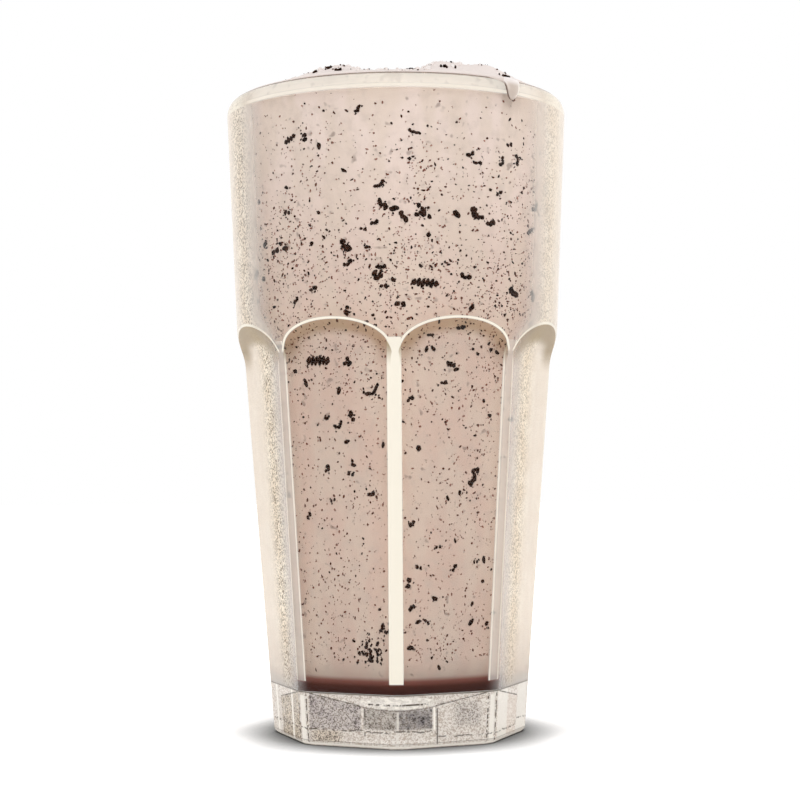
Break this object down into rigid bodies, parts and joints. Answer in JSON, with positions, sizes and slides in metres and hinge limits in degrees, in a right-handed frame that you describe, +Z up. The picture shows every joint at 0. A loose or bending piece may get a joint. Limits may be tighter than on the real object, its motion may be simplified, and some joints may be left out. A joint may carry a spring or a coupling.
{
  "type": "milkshake",
  "caption": "Cookies-and-cream milkshake with dark crumbs, filled over the rim of a tall clear tumbler with flat arched panels.",
  "frame": {"origin": "centre of the foot of the glass, on the surface it stands on", "axes": "+Z up the glass, -Y towards the viewer with one rib at the front, +X to the viewer's right"},
  "size_m": [0.092, 0.092, 0.1762],
  "materials": {
    "glass": "clear pressed glass, soft rounded edges",
    "milkshake": "thick creamy shake, slightly wet",
    "crumbs": "dark baked cookie crumbs"
  },
  "bodies": {
    "root": {"glass": "glass", "milkshake": "milkshake"}
  },
  "joints": []
}
